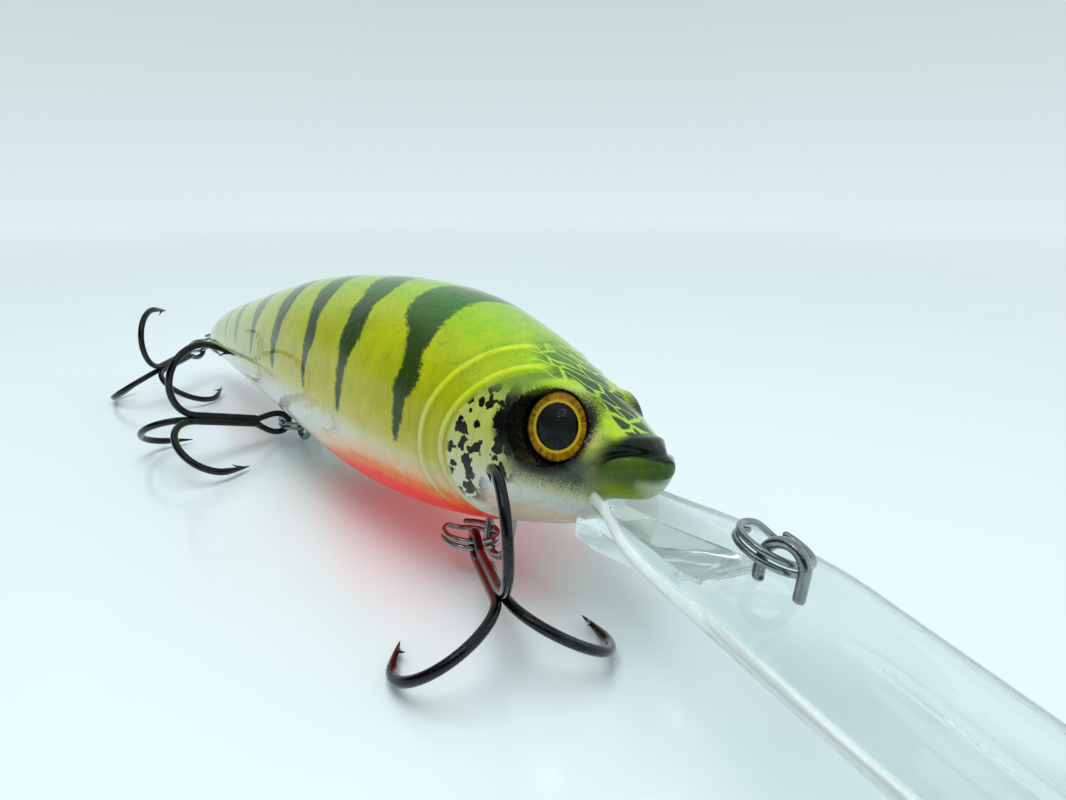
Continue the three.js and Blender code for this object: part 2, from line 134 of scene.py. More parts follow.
# Lip: x, height of the top face, half width, from the chin to where its round end starts.
LIP_STATIONS = np.array([
    [23.0, 17.3, 3.6],
    [28, 16.7, 5.6],
    [34, 15.9, 9.2],
    [39, 15.1, 10.6],
    [45.1, 14.0, 11.5],
    [52, 12.34, 11.6],
    [66, 8.98, 11.6],
    [80, 5.62, 11.5],
    [91.5, 2.86, 11.5],
])
LIP_THICK = 1.9
LIP_ROWS, LIP_TURN_ROWS, LIP_COLUMNS = 150, 40, 111
LIP_RIDGE, LIP_RIDGE_HALF = 0.62, 1.1    # height and half width of the ridge down the middle
LIP_DISH, LIP_DISH_HALF = 0.35, 11.5     # how far the sides rise, at this half width
LIP_ROUND_FROM = 80
LIP_END = 91.4
# Root under the lip's neck: x, its lowest height, half width.
ROOT_STATIONS = np.array([
    [23.0, 10.6, 3.6],
    [27, 10.5, 4.4],
    [34, 11.4, 5.6],
    [42, 12.6, 6.4],
])

CAMERA_PLACE = (0.08215, -0.04307, 0.04642)
CAMERA_LOOK = (-0.736, 0.609, -0.296)
CAMERA_LENS = 24.42                  # on a sensor 36 wide

TABLE_R = 1.6
TABLE_DROP = 0.00005                 # below the lure's lowest point
TABLE_FADE = (0.16, 0.75)            # from its middle, in metres
FLAG_R, FLAG_HEIGHT = 0.55, 0.84
LAMP_R = 0.024
LAMP_WIRE_R = 0.0026
LAMP_DISTANCE = 0.15
LAMP_SLOPE = (0.34, 0.26)            # lean of the eye's surface where its highlight lies


# ---------- frames ----------

def leaned(points):
    """Points of the lure's own frame turned by its lean, still in millimetres."""
    points = np.asarray(points, float)
    c, s = math.cos(LEAN), math.sin(LEAN)
    x, y, z = points[..., 0], points[..., 1], points[..., 2]
    return np.stack([x, c * y + s * z, c * z - s * y], axis=-1)


def joint_place(name):
    found = [j for j in frame["joints"] if j["name"] == name][0]
    return np.array(found["pos_m"]) / MM


ORIGIN = joint_place("line_ring_swing") - leaned(TIE_CENTRE)


def to_row(points):
    """Millimetres in the lure's own frame to metres in the model's frame."""
    return (leaned(points) + ORIGIN) * MM


def unit(v):
    return v / np.linalg.norm(v)


# ---------- curves and meshes ----------

def catmull(points, t):
    """Uniform Catmull-Rom curve through the points, at t from 0 to 1."""
    points = np.asarray(points, float)
    count = len(points)
    place = np.clip(t, 0, 1) * (count - 1)
    i = np.minimum(np.floor(place).astype(int), count - 2)
    w = (place - i)[:, None]
    before = 2 * points[0] - points[1]
    after = 2 * points[-1] - points[-2]
    padded = np.vstack([before, points, after])
    p0, p1, p2, p3 = padded[i], padded[i + 1], padded[i + 2], padded[i + 3]
    return 0.5 * (2 * p1 + (p2 - p0) * w + (2 * p0 - 5 * p1 + 4 * p2 - p3) * w ** 2
                  + (3 * p1 - p0 - 3 * p2 + p3) * w ** 3)


def smooth_line(points, steps):
    return catmull(points, np.linspace(0, 1, steps))


def along(stations, x, column, steps=4000):
    """A column of the stations as a smooth function of x."""
    fine = smooth_line(stations, steps)
    return np.interp(x, fine[:, 0], fine[:, column])


def smoothstep(low, high, value):
    t = np.clip((value - low) / (high - low), 0, 1)
    return t * t * (3 - 2 * t)


def bell(distance, width):
    return np.exp(-(distance / width) ** 2)


def line_distance(points, line, half_widths=None):
    """Distance from flat points to a polyline, less its local half width if it has one."""
    best = np.full(len(points), 1e9)
    for k in range(len(line) - 1):
        a, b = line[k], line[k + 1]
        step = b - a
        t = np.clip((points - a) @ step / (step @ step), 0, 1)
        gap = np.linalg.norm(points - a - t[:, None] * step, axis=1)
        if half_widths is not None:
            gap = gap - half_widths[k] * (1 - t) - half_widths[k + 1] * t
        best = np.minimum(best, gap)
    return best


def grid_faces(rows, columns, closed=False):
    """Quads of a grid of points, row after row. A closed grid joins its last column to its first."""
    faces = []
    for i in range(rows - 1):
        for j in range(columns if closed else columns - 1):
            a = i * columns + j
            b = i * columns + (j + 1) % columns
            faces.append((a, b, b + columns, a + columns))
    return faces


def closed_loft(rings, ends=None):
    """Points and faces of a closed skin over rings of points, with a fan at each end."""
    rings = np.asarray(rings)
    rows, columns = rings.shape[:2]
    points = rings.reshape(-1, 3)
    if ends is None:
        ends = [rings[0].mean(axis=0), rings[-1].mean(axis=0)]
    faces = grid_faces(rows, columns, closed=True)
    first, last = len(points), len(points) + 1
    tail = (rows - 1) * columns
    for j in range(columns):
        after = (j + 1) % columns
        faces.append((first, after, j))
        faces.append((last, tail + j, tail + after))
    return np.vstack([points, ends]), faces


def tube(path, radii, sides):
    """Closed round wire along a path. Each radius belongs to a point of the path."""
    path = np.asarray(path, float)
    radii = np.broadcast_to(radii, len(path))
    tangents = np.gradient(path, axis=0)
    tangents /= np.linalg.norm(tangents, axis=1)[:, None]
    helper = np.array([0.0, 1, 0]) if abs(tangents[0][1]) < 0.9 else np.array([1.0, 0, 0])
    across = unit(np.cross(tangents[0], helper))
    angles = np.linspace(0, 2 * np.pi, sides, endpoint=False)
    rings = []
    for point, tangent, radius in zip(path, tangents, radii):
        across = unit(across - (across @ tangent) * tangent)
        other = np.cross(tangent, across)
        rings.append(point + radius * (np.outer(np.cos(angles), across)
                                       + np.outer(np.sin(angles), other)))
    return closed_loft(rings)


def lengths(path):
    """How far along the path each of its points lies."""
    return np.concatenate([[0], np.cumsum(np.linalg.norm(np.diff(path, axis=0), axis=1))])


def upright(flat):
    """Flat points as points of the XZ plane."""
    return np.stack([flat[:, 0], 0 * flat[:, 0], flat[:, 1]], axis=1)


def round_ends(path, radius, steps=5):
    """The path with its radii, rounded over at both ends."""
    path = np.asarray(path, float)
    length = lengths(path)
    cap = radius * (1 - np.cos(np.linspace(0.15, 1, steps) * np.pi / 2))
    places = np.concatenate([cap, length[(length > radius * 1.05)
                                         & (length < length[-1] - radius * 1.05)],
                             (length[-1] - cap)[::-1]])
    places = np.unique(places)
    fine = np.stack([np.interp(places, length, path[:, k]) for k in range(3)], axis=1)
    edge = np.clip(np.minimum(places, length[-1] - places) / radius, 0, 1)
    return fine, radius * np.sqrt(np.clip(1 - (1 - edge) ** 2, 0.002, 1))


def lathe(profile, sides=72):
    """Solid of revolution about Z. The profile starts and ends on the axis."""
    turn = np.linspace(0, 2 * np.pi, sides, endpoint=False)
    rings = [np.stack([r * np.cos(turn), r * np.sin(turn), np.full(sides, z)], axis=1)
             for r, z in profile if r > 0]
    return closed_loft(rings, [[0, 0, profile[0][1]], [0, 0, profile[-1][1]]])


def joined(parts):
    """Several closed skins as one."""
    points, faces, start = [], [], 0
    for part_points, part_faces in parts:
        points.append(part_points)
        faces += [tuple(v + start for v in face) for face in part_faces]
        start += len(part_points)
    return np.vstack(points), faces


def outward(points, faces):
    """The faces, turned over if the skin's volume is negative."""
    fans = [(f[0], f[k], f[k + 1]) for f in faces for k in range(1, len(f) - 1)]
    a, b, c = (points - points.mean(axis=0))[np.array(fans)].transpose(1, 0, 2)
    return [f[::-1] for f in faces] if (a * np.cross(b, c)).sum() < 0 else faces


def linked(name, data):
    """A new object in the scene."""
    obj = bpy.data.objects.new(name, data)
    bpy.context.scene.collection.objects.link(obj)
    return obj


def piece(name, points, faces, material, body, nodes, marks=None, sharp=None):
    """A finished piece in metres that rides on a body and stands for its CAD nodes."""
    data = bpy.data.meshes.new(name)
    data.from_pydata(points.tolist(), [], outward(points, faces))
    data.polygons.foreach_set("use_smooth", [True] * len(data.polygons))
    for mark, values in (marks or {}).items():
        kind = "FLOAT_VECTOR" if values.ndim == 2 else "FLOAT"
        field = "vector" if values.ndim == 2 else "value"
        attribute = data.attributes.new(mark, kind, "POINT")
        attribute.data.foreach_set(field, values.astype(np.float32).ravel())
    if sharp is not None:
        data.set_sharp_from_angle(angle=math.radians(sharp))
    data.materials.append(material)
    data.update()
    obj = linked(name, data)
    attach(obj, body)
    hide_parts(*nodes)
    return obj


# ---------- shader helpers ----------

def colour(red, green, blue):
    """A display colour, each part from 0 to 255, as linear light."""
    parts = [v / 255 for v in (red, green, blue)]
    linear = [v / 12.92 if v <= 0.04045 else ((v + 0.055) / 1.055) ** 2.4 for v in parts]
    return (*linear, 1.0)


class Value:
    """An output of a shader node, with the sums that the looks are built from."""

    def __init__(self, shader, socket):
        self.shader = shader
        self.socket = socket

    def __add__(self, other):
        return self.shader.math("ADD", self, other)

    def __sub__(self, other):
        return self.shader.math("SUBTRACT", self, other)

    def __mul__(self, other):
        return self.shader.math("MULTIPLY", self, other)

    def step(self, low, high, bottom=0.0, top=1.0):
        """Smooth step from bottom, where the value is low, to top, where it is high."""
        limits = {"From Min": low, "From Max": high, "To Min": bottom, "To Max": top}
        return self.shader.value("MapRange", {"Value": self, **limits}, "Result",
                                 interpolation_type="SMOOTHSTEP")


class Shader:
    """A material of one Principled shader, with short names for the nodes that feed it."""

    def __init__(self, name, **sockets):
        self.material = bpy.data.materials.new(name)
        self.material.use_nodes = True
        self.tree = self.material.node_tree
        for socket, value in sockets.items():
            self.set(socket.replace("_", " "), value)

    def put(self, socket, value):
        """Sets a socket to a plain value, or links a node's output to it."""
        if isinstance(value, Value):
            self.tree.links.new(value.socket, socket)
        elif value is not None:
            socket.default_value = value

    def set(self, name, value):
        self.put(self.tree.nodes["Principled BSDF"].inputs[name], value)

    def value(self, kind, inputs, output=0, **settings):
        """An output of a new node with the given inputs and settings."""
        node = self.tree.nodes.new("ShaderNode" + kind)
        for name, setting in settings.items():
            setattr(node, name, setting)
        for name, entry in inputs.items():
            self.put(node.inputs[name], entry)
        return Value(self, node.outputs[output])

    def attribute(self, name, output="Fac"):
        return self.value("Attribute", {}, output, attribute_name=name)

    def place(self):
        """The point's place on the object, in metres."""
        return self.value("TexCoord", {}, "Object")

    def place_mm(self):
        return self.scaled(self.place(), (1 / MM,) * 3)

    def scaled(self, vector, factors):
        return self.value("VectorMath", {0: vector, 1: factors}, operation="MULTIPLY")

    def shifted(self, vector, other):
        return self.value("VectorMath", {0: vector, 1: other}, operation="ADD")

    def parts(self, vector):
        return [self.value("SeparateXYZ", {0: vector}, k) for k in range(3)]

    def math(self, operation, a, b=None):
        return self.value("Math", {0: a, 1: b}, operation=operation)

    def mix(self, factor, a, b):
        """The first colour where the factor is 0, the second where it is 1."""
        return self.value("Mix", {0: factor, 6: a, 7: b}, 2, data_type="RGBA")

    def noise(self, vector, scale, detail=3.0, roughness=0.5, output="Fac"):
        inputs = {"Vector": vector, "Scale": scale, "Detail": detail, "Roughness": roughness}
        return self.value("TexNoise", inputs, output)

    def cells(self, vector, scale, feature="F1"):
        inputs = {"Vector": vector, "Scale": scale}
        return self.value("TexVoronoi", inputs, "Distance", feature=feature)

    def warped(self, vector, scale, amount):
        """The vector pushed about by noise."""
        swirl = self.shifted(self.noise(vector, scale, 2.0, output="Color"), (-0.5, -0.5, -0.5))
        return self.shifted(vector, self.scaled(swirl, (amount, amount, amount)))

    def bump(self, height, distance, socket="Normal"):
        """Bump whose height of 1 stands the given distance, in millimetres."""
        self.set(socket, self.value("Bump", {"Height": height, "Distance": distance * MM}))


# ---------- body shape ----------

# Painted bars of one flank: x, height and width, from the back down.
BARS = [
    [(-4.0, 36, 8.5), (-3.2, 32, 6.6), (-0.9, 29.3, 4.6), (0.1, 27.1, 3.7), (1.0, 24.7, 2.9),
     (1.4, 22.4, 3.7), (0.8, 20.7, 2.7), (1.1, 18.4, 1.9), (0.8, 15.2, 0.9)],
    [(-20, 36, 5.5), (-17.6, 32.7, 4.0), (-14.6, 30.6, 4.4), (-14.8, 28.8, 4.2), (-13.6, 26.9, 4.2),
     (-13.3, 25.2, 4.9), (-13.2, 23.6, 3.6), (-13.2, 21.9, 2.6), (-13.0, 17.5, 1.6),
     (-13.2, 15.4, 1.0)],
    [(-33, 36, 5.0), (-29.6, 30.6, 4.2), (-27.5, 28.3, 4.2), (-26.8, 26.9, 3.6), (-25.8, 24.8, 2.7),
     (-24.9, 22.7, 3.3), (-24.9, 20.6, 2.2), (-24.9, 18.2, 1.4), (-24.6, 16, 0.8)],
    [(-45, 34, 5.0), (-40.9, 28.2, 4.4), (-40.1, 26.7, 4.8), (-39.1, 24.9, 4.5), (-38.9, 23.3, 3.4),
     (-38.6, 21.2, 3.5), (-38.5, 18.6, 2.4), (-38.0, 16.4, 1.2)],
    [(-59, 30, 5.0), (-54.4, 24.4, 4.6), (-52.6, 22.9, 4.0), (-52.0, 20.9, 2.7), (-51.2, 18.7, 2.2),
     (-51.3, 16.0, 1.1)],
    [(-73, 28, 4.0), (-67.6, 21.3, 3.5), (-65.3, 19.3, 2.7), (-63.7, 16.2, 1.3)],
    [(-82, 24, 3.6), (-76.6, 18.8, 2.8), (-74.7, 15.6, 1.4)],
    [(-91, 20, 2.8), (-86.3, 16.2, 2.0), (-85, 13.8, 1.0)],
]
# Lower edge of the flank's green, and upper edge of the belly's orange: x and height.
FLANK_EDGE = np.array([(-104, 9.0), (-85, 10.4), (-72, 11.8), (-52, 13.4), (-38, 14.4), (-24, 14.6),
                       (-10, 14.0), (4, 13.2), (12, 12.4), (31, 12.4)])
ORANGE_EDGE = np.array([(-104, 7.6), (-96, 11.4), (-84, 10.2), (-72, 7.5), (-60, 4.0), (-42, 3.6),
                        (-32, 5.8), (-20, 9.2), (-8, 11.4), (4, 11.8), (10, 11.8), (14, 10.2),
                        (21, 8.4), (31, 7.0)])
# Half width of the dark crown: x and half width.
CROWN_EDGE = np.array([(6, -1.5), (11, 2.4), (14, 3.6), (18, 3.0), (22, 2.9), (25, 2.7),
                       (28, 2.0), (31, 1.6)])
# Gill ridges, brow, mouth and lips in the flank's plane: x and height.
OUTER_RIDGE = [(13.5, 29.2), (10.9, 28.2), (8.6, 25.6), (6.8, 22.3), (5.6, 19), (5.4, 15.5),
               (6.0, 12), (7.8, 9.0), (10, 7.4)]
INNER_RIDGE = [(20.5, 27.0), (17.4, 27.4), (14.9, 26.9), (12.6, 25.4), (10.4, 22.4), (9.0, 19.2),
               (8.6, 16.2), (9.4, 13), (11.2, 10.2), (14, 8.6)]
BROW = [(16.6, 25.2), (18.9, 25.7), (20.4, 25.3), (22.2, 24.6), (23.6, 23.8), (24.9, 22.9),
        (26.6, 22.2), (28.8, 22.2)]
MOUTH = [(25.4, 19.0), (26.4, 20.2), (27.6, 20.9), (29.0, 21.2), (31.4, 21.0)]
UPPER_LIP = [(25.4, 20.6), (26.9, 21.7), (28.6, 22.3), (30.4, 22.0), (31.4, 21.6)]
LOWER_LIP = [(25.8, 17.8), (27.4, 19.0), (29.2, 19.9), (31.2, 20.0)]
# Each moulded line, after the number of points that its curve is drawn with.
MOULDED = {
    "outer_ridge": (60, OUTER_RIDGE),
    "inner_ridge": (60, INNER_RIDGE),
    "brow": (50, BROW),
    "mouth": (50, MOUTH),
    "upper_lip": (50, UPPER_LIP),
    "lower_lip": (50, LOWER_LIP),
}
NOSTRIL = (28.0, 23.4)
CHEEK_CENTRE = (20, 16.4)            # ellipse through the inner ridge
CHEEK_AXES = (11.2, 11.6)


def body_sections():
    """For each row: x, belly, back and half width, with the ends rounded over."""
    flank = np.linspace(BODY_STATIONS[0, 0], 0, TAIL_ROWS)
    x = np.concatenate([flank, np.linspace(0, BODY_STATIONS[-1, 0], HEAD_ROWS)[1:]])
    rows = np.stack([x] + [along(BODY_STATIONS, x, k, 6000) for k in (1, 2, 3)], axis=1)
    caps = []
    for row, sign in ((rows[0], -1), (rows[-1], 1)):
        cap = []
        for angle in np.linspace(0.15, 0.97, CAP_ROWS) * np.pi / 2:
            middle, high = (row[1] + row[2]) / 2, (row[2] - row[1]) / 2 * math.cos(angle)
            cap.append([row[0] + sign * CAP_REACH * math.sin(angle), middle - high, middle + high,
                        row[3] * math.cos(angle)])
        caps.append(cap)
    return np.vstack([caps[0][::-1], rows, caps[1]])


def section_points(sections, angles, inset=0.0):
    """Left half of each section, from the belly to the back."""
    c, s = np.cos(angles), np.sin(angles)
    out = np.abs(c) ** (2 / SECTION_POWER)
    up = np.sign(s) * np.abs(s) ** (2 / SECTION_POWER)
    middle = (sections[:, 1] + sections[:, 2]) / 2
    high = np.maximum((sections[:, 2] - sections[:, 1]) / 2 - inset, 0)
    points = np.zeros((len(sections), len(angles), 3))
    points[..., 0] = sections[:, :1]
    points[..., 1] = sections[:, 3:] * out
    points[..., 2] = middle[:, None] + high[:, None] * up
    return points


def grid_normals(points):
    """Outward normals of the left half. At both seams they lie in the middle plane."""
    lengthways = np.gradient(points, axis=0)
    round_way = np.gradient(points, axis=1)
    normals = np.cross(round_way, lengthways)
    normals[:, 0, 1] = 0
    normals[:, -1, 1] = 0
    normals /= np.maximum(np.linalg.norm(normals, axis=2, keepdims=True), 1e-9)
    middle = len(points) // 2
    if normals[middle, points.shape[1] // 2, 1] < 0:
        normals = -normals
    return normals


def ellipse_distance(flat, centre, axes):
    """Nearly the distance to an ellipse, negative inside."""
    offset = (flat - centre) / axes
    q = np.maximum(np.linalg.norm(offset, axis=1), 1e-6)
    slope = np.linalg.norm(offset / axes, axis=1) / q
    return (q - 1) / np.maximum(slope, 1e-6)


def relief(near, flat, side_reach):
    """How far the moulded detail stands out of the plain form, from the distances to its lines."""
    x, h = flat.T
    outer, inner = near["outer_ridge"], near["inner_ridge"]
    low = smoothstep(7.0, 10.0, h) * smoothstep(2.5, 7.0, side_reach)
    height = 0.17 * bell(outer, 0.32) * low
    height += 0.20 * bell(inner, 0.28) * low * smoothstep(21, 17, x)
    between = smoothstep(0.4, 1.6, outer) * smoothstep(0.4, 1.4, inner)
    cheek = ellipse_distance(flat, CHEEK_CENTRE, CHEEK_AXES)
    height -= 0.06 * between * bell(cheek - 1.8, 1.6) * smoothstep(20, 14, x) * low
    height += 0.22 * bell(near["brow"], 0.5) * smoothstep(2.4, 4.2, side_reach)
    height += 0.28 * bell(near["upper_lip"], 0.5)
    height += 0.06 * bell(near["lower_lip"], 0.8)
    height -= 0.5 * bell(near["mouth"], 0.28)
    return height - 0.3 * bell(np.linalg.norm(flat - np.array(NOSTRIL), axis=1), 0.45)


def eye_axes():
    facing = unit(EYE_FACING)
    side = unit(np.cross(np.array([0.0, 0, 1]), facing))
    return facing, side, np.cross(facing, side)


def seat_eye(points):
    """Sinks the socket of the eye and raises a rim round it. Also gives each point's eye radius."""
    facing, side, up = eye_axes()
    offset = points - EYE_CENTRE
    depth = offset @ facing
    radius = np.hypot(offset @ side, offset @ up)
    radius = np.where(depth > NEAR_SIDE, radius, 99)
    rim = SOCKET_RIM - 3.0 * smoothstep(EYE_R + 0.3, EYE_R + 1.1, radius)
    lifted = np.maximum(depth, rim)
    share = smoothstep(EYE_R + 1.3, EYE_R + 0.7, radius)
    target = depth + (lifted - depth) * share
    target = np.where(radius < EYE_R + 0.5, np.minimum(target, SOCKET_RIM), target)
    floor = -EYE_DISC - 2 * GAP
    target = np.where(radius < EYE_R + SOCKET_PLAY, floor, target)
    return points + (target - depth)[..., None] * facing, radius


def body_half(side):
    """Points, faces and marks of one moulded half, painted outside and hollow inside."""
    sections = body_sections()
    angles = np.linspace(-np.pi / 2, np.pi / 2, ROUND_POINTS)
    plain = section_points(sections, angles)
    flat = plain[..., [0, 2]].reshape(-1, 2)
    near = {name: line_distance(flat, smooth_line(line, steps))
            for name, (steps, line) in MOULDED.items()}
    height = relief(near, flat, plain[..., 1].ravel())
    ends = smoothstep(1.2, 3.5, sections[:, 3])[:, None]
    raised = height.reshape(plain.shape[:2]) * ends - PAINT_INSET
    outer = plain + grid_normals(plain) * raised[..., None]
    outer, eye = seat_eye(outer)
    outer[:, [0, -1], 1] = 0
    marks = paint_marks(near, plain.reshape(-1, 3), outer.reshape(-1, 3), eye.ravel())

    inner_angles = np.linspace(np.pi / 2, -np.pi / 2, LINING_POINTS)
    hollow = smoothstep(CAVITY[0] - 3, CAVITY[0], sections[:, 0])
    hollow *= smoothstep(CAVITY[1] + 3, CAVITY[1], sections[:, 0])
    inside = sections.copy()
    inside[:, 3] = np.maximum(sections[:, 3] - WALL, 0) * hollow
    inset = np.minimum(WALL, 0.3 * (sections[:, 2] - sections[:, 1]))
    middle = (sections[:, 1] + sections[:, 2]) / 2
    high = (sections[:, 2] - sections[:, 1]) / 2 - inset
    inside[:, 1] = middle - high
    inside[:, 2] = middle + high
    inner = section_points(inside, inner_angles)
    rings = np.concatenate([outer, inner], axis=1)
    rings[..., 1] *= side
    points, faces = closed_loft(rings)
    for name, values in marks.items():
        grid = values.reshape(plain.shape[:2] + values.shape[1:])
        lining = np.repeat(grid[:, -1:], inner.shape[1], axis=1)
        full = np.concatenate([grid, lining], axis=1).reshape((-1,) + values.shape[1:])
        marks[name] = np.concatenate([full, full[:1], full[-1:]])
    if side < 0:
        marks["lure"] = marks["lure"] * np.array([1, -1, 1])
    return points, faces, marks


def paint_marks(near, plain, outer, eye):
    """Distances in millimetres that the paint follows."""
    flat = plain[:, [0, 2]]
    x, y, h = plain.T
    bars = np.full(len(flat), -99.0)
    for bar in BARS:
        fine = smooth_line(bar, 34)
        bars = np.maximum(bars, -line_distance(flat, fine[:, :2], fine[:, 2] / 2))
    back = along(BODY_STATIONS[:, [0, 2]], x, 1)
    edge = np.interp(x, *FLANK_EDGE.T)
    behind = ellipse_distance(flat, (19.6, 21.2), (4.4, 3.5))
    return {
        "lure": outer,
        "bars": bars,
        "flank": h - edge,
        "rise": np.clip((h - edge) / np.maximum(back - edge, 1), -1, 1),
        "orange": np.interp(x, *ORANGE_EDGE.T) - h,
        "outer_ridge": near["outer_ridge"],
        "inner_ridge": near["inner_ridge"],
        "cheek": -ellipse_distance(flat, CHEEK_CENTRE, CHEEK_AXES),
        "eye": np.minimum(eye - EYE_R + 0.9 * smoothstep(23.0, 24.8, h), behind + 0.8),
        "dorsal": np.interp(x, *CROWN_EDGE.T) - np.abs(y),
        "brow": near["brow"] + 2 * smoothstep(2.4, 1.4, np.abs(y)),
        "mouth": near["mouth"],
        "upper_lip": near["upper_lip"],
    }


# ---------- body paint ----------

def flank_colour(shader, rise, x):
    """Lime back, yellow-green flank and cream below, paler towards the tail."""
    front = shader.mix(rise.step(0.0, 0.3), colour(206, 190, 92), colour(170, 166, 4))
    front = shader.mix(rise.step(0.3, 0.75), front, colour(160, 176, 0))
    front = shader.mix(rise.step(0.75, 0.98), front, colour(140, 190, 0))
    rear = shader.mix(rise.step(0.0, 0.35), colour(200, 202, 160), colour(172, 182, 100))
    rear = shader.mix(rise.step(0.4, 0.95), rear, colour(158, 190, 66))
    return shader.mix(x.step(-78.0, -18.0), rear, front)


def belly_colour(shader, orange, x):
    """White below the flank, then peach, orange and red along the bottom."""
    pale = shader.mix(orange.step(-2.6, 0.2), colour(226, 226, 212), colour(240, 188, 148))
    warm = shader.mix(orange.step(0.0, 1.6), pale, colour(250, 120, 30))
    hot = shader.mix(orange.step(1.8, 3.4), warm, colour(226, 18, 6))
    tail = shader.mix(orange.step(-2.0, 2.5), colour(228, 226, 214), colour(236, 96, 70))
    return shader.mix(x.step(-60.0, -40.0), tail, hot)


def painted_body():
    shader = Shader("painted_shell", Roughness=0.35, Coat_Roughness=0.02, Coat_IOR=1.32, IOR=1.4,
                    Specular_IOR_Level=0.15, Emission_Strength=1.0)
    lure = shader.attribute("lure", "Vector")
    x, _, h = shader.parts(lure)
    fine = shader.noise(lure, 5.5, 2.0, 0.6)
    grain = shader.noise(lure, 14.0, 1.0, 0.5)
    wave = shader.noise(lure, 0.45, 3.0, 0.6)
    rise = shader.attribute("rise") + (wave - 0.5) * 0.22

    paint = flank_colour(shader, rise, x)
    patches = shader.noise(shader.scaled(lure, (0.3, 0.3, 0.12)), 1.0, 4.0, 0.65).step(0.38, 0.66)
    paint = shader.mix(patches * 0.28, paint, colour(202, 208, 20))
    paint = bars_over(shader, paint, x, lure, fine)
    orange = shader.attribute("orange") + (wave - 0.5) * 1.6
    belly = belly_colour(shader, orange, x)
    shader.set("Coat Weight", orange.step(-0.5, 2.5, 0.9, 0.3))
    # Red emission along the belly's bottom is painted light: the paint glows though it is no lamp,
    # and tints the floor's shadow under the belly red.
    painted_belly_glow = orange.step(1.6, 4.0) * x.step(17.0, 13.0)
    shader.set("Emission Color",
               shader.mix(painted_belly_glow * x.step(-40.0, -28.0), (0, 0, 0, 1), (0.24, 0.008, 0.003, 1)))
    edge = shader.attribute("flank") + (fine - 0.5) * 1.2
    paint = shader.mix(edge.step(-2.6, 1.8), belly, paint)
    paint = gills_over(shader, paint, h, grain)
    paint = cheek_over(shader, paint, lure, x, h, fine)
    paint = crown_over(shader, paint, lure, x, fine)
    paint = face_over(shader, paint, x, h, fine)
    mist = grain.step(0.6, 0.74) * 0.16
    paint = shader.mix(mist, paint, colour(92, 108, 10))
    shader.set("Base Color", paint)
    shader.bump(shell_relief(shader, lure, fine), 0.12, "Normal")
    shader.bump(shader.noise(lure, 0.55, 2.0, 0.4), 0.05, "Coat Normal")
    return shader.material


def bars_over(shader, paint, x, lure, fine):
    """Dark green bars with airbrushed edges, broken up by noise and by paint specks."""
    ragged = (shader.noise(lure, 1.3, 3.0, 0.65) - 0.5) * 1.5 + (fine - 0.5) * 0.98
    mask = (shader.attribute("bars") + ragged).step(-0.3, 0.3)
    ink = shader.mix(x.step(-75.0, -5.0), colour(66, 98, 62), colour(34, 58, 18))
    ink = shader.mix(shader.attribute("rise").step(0.7, 0.98), ink, colour(48, 104, 20))
    mask = mask * x.step(-100.0, -40.0, 0.66, 0.97)
    return shader.mix(mask, paint, ink)


def gills_over(shader, paint, h, grain):
    """Pale yellow ridges, with a greener groove beside each."""
    for name, limit in (("outer_ridge", 0.50), ("inner_ridge", 0.48)):
        distance = shader.attribute(name) + (grain - 0.5) * 0.3
        low = h.step(8.5, 11.5)
        tint = shader.mix(h.step(13.0, 24.0), colour(220, 210, 150), colour(206, 222, 24))
        groove = distance.step(1.7, 0.5) * low
        paint = shader.mix(groove * 0.25, paint, colour(128, 140, 14))
        crest = distance.step(limit, 0.12) * low
        paint = shader.mix(crest * 0.9, paint, tint)
    return paint


def cheek_over(shader, paint, lure, x, h, fine):
    """Cream cheek with black blotches, speckled green above them."""
    inside = shader.attribute("cheek").step(0.3, 1.0)
    cream = shader.mix(h.step(12.0, 20.0), colour(222, 220, 196), colour(186, 190, 92))
    cream = shader.mix((h + fine * 3.0).step(22.5, 26.5), cream, colour(112, 142, 40))
    paint = shader.mix(inside, paint, cream)
    warped = shader.warped(shader.scaled(lure, (1.0, 1.0, 0.72)), 0.9, 1.5)
    blotch = shader.cells(warped, 0.72)
    size = shader.noise(lure, 0.9, 1.0)
    spot = (blotch - size * 0.9).step(0.03, -0.03)
    region = shader.attribute("cheek").step(0.5, 1.1) * h.step(10.5, 12.0)
    region = region * h.step(25.5, 23.0)
    region = region * x.step(18.4, 17.0)
    return shader.mix(spot * region, paint, colour(10, 13, 8))


def crown_over(shader, paint, lure, x, fine):
    """Dark green patches on top of the head, split by branching yellow-green veins."""
    dorsal = shader.attribute("dorsal") + (fine - 0.5) * 1.2
    mask = dorsal.step(-1.3, 0.9)
    mask = mask * x.step(7.0, 14.0)
    patch = shader.mix(x.step(10.0, 22.0), colour(84, 136, 20), colour(24, 46, 34))
    paint = shader.mix(mask * 0.94, paint, patch)
    inputs = {"Vector": shader.warped(lure, 0.35, 1.6), "Rotation": (0, 0, math.radians(24)),
              "Scale": (3.6, 1.25, 6.0)}
    leaning = shader.value("Mapping", inputs, vector_type="TEXTURE")
    veins = shader.cells(leaning, 0.95, "DISTANCE_TO_EDGE")
    vein = veins.step(0.085, 0.02) * dorsal.step(-2.5, -0.2)
    vein = vein * x.step(9.0, 13.0)
    return shader.mix(vein * 0.85, paint, colour(178, 222, 40))


